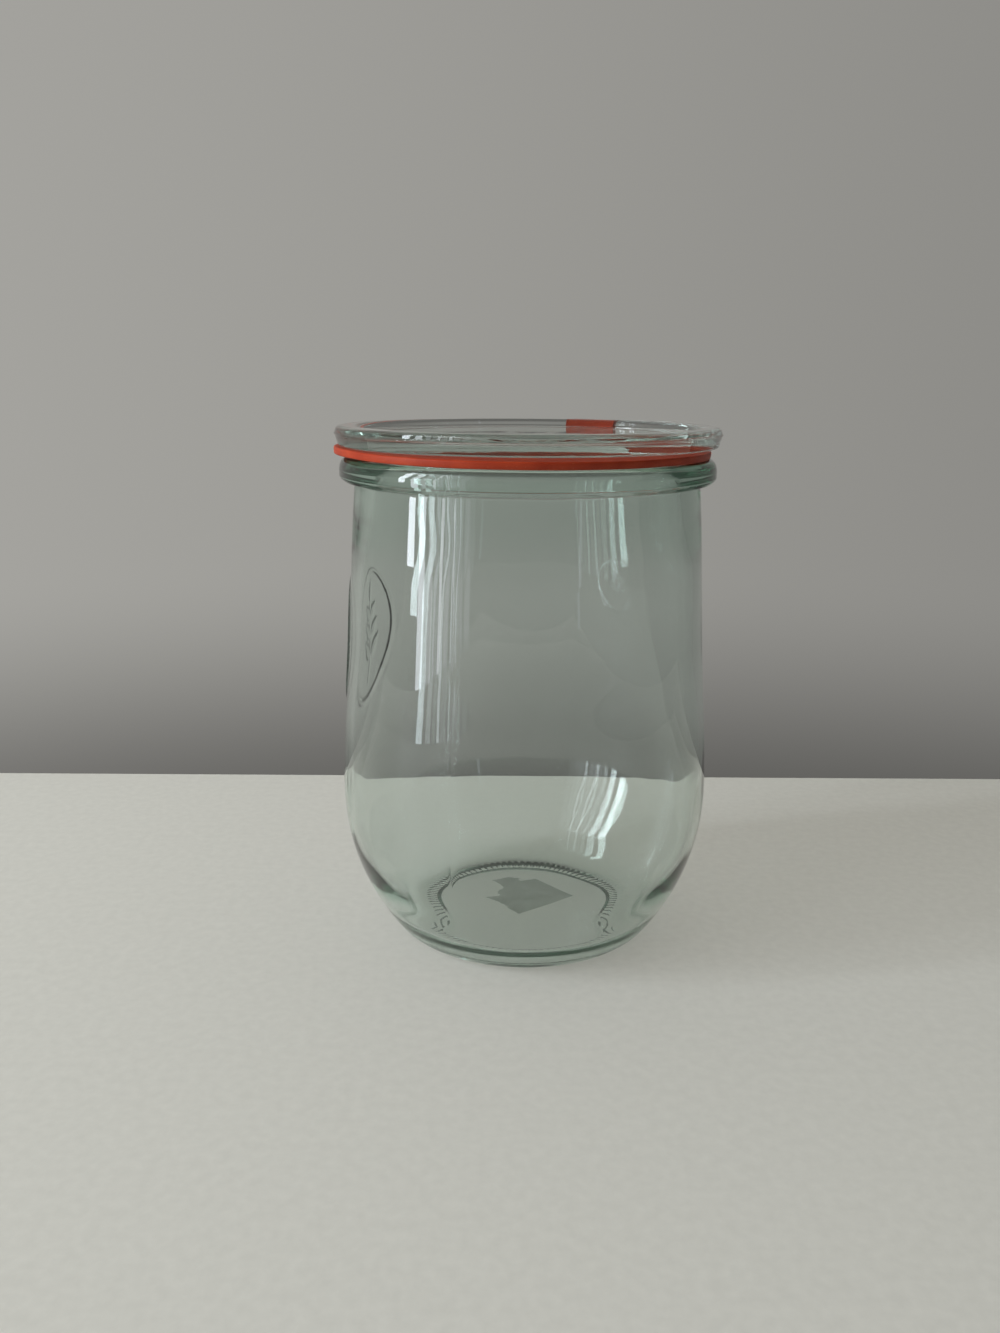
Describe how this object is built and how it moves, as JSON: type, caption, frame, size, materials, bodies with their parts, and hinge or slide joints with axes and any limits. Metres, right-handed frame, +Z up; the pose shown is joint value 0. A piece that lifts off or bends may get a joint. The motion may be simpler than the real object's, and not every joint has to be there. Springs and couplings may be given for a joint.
{
  "type": "canning jar",
  "caption": "Tulip-shaped clear glass canning jar with a loose glass lid resting on a flat rubber ring with a pull tab.",
  "frame": {"origin": "on the jar's axis, in the plane that the jar stands on", "axes": "+Z up along the jar's axis; -Y is the front, and the ring's pull tab is at the back, to the right of +Y"},
  "size_m": [0.1112, 0.1121, 0.1529],
  "materials": {
    "jar_glass": "pressed, pale green",
    "lid_glass": "pressed, pale green",
    "ring_rubber": "smooth, orange-red",
    "label_paper": "matt, grey"
  },
  "bodies": {
    "jar": {"jar_body": "jar_glass", "label_remnant": "label_paper"},
    "ring": {"sealing_ring": "ring_rubber"},
    "lid": {"lid": "lid_glass"}
  },
  "joints": [
    {"name": "ring_lift", "type": "slide", "parent": "jar", "child": "ring", "axis": [0, 0, 1], "range_m": [0, 0.03]},
    {"name": "lid_lift", "type": "slide", "parent": "ring", "child": "lid", "axis": [0, 0, 1], "range_m": [0, 0.06]}
  ]
}
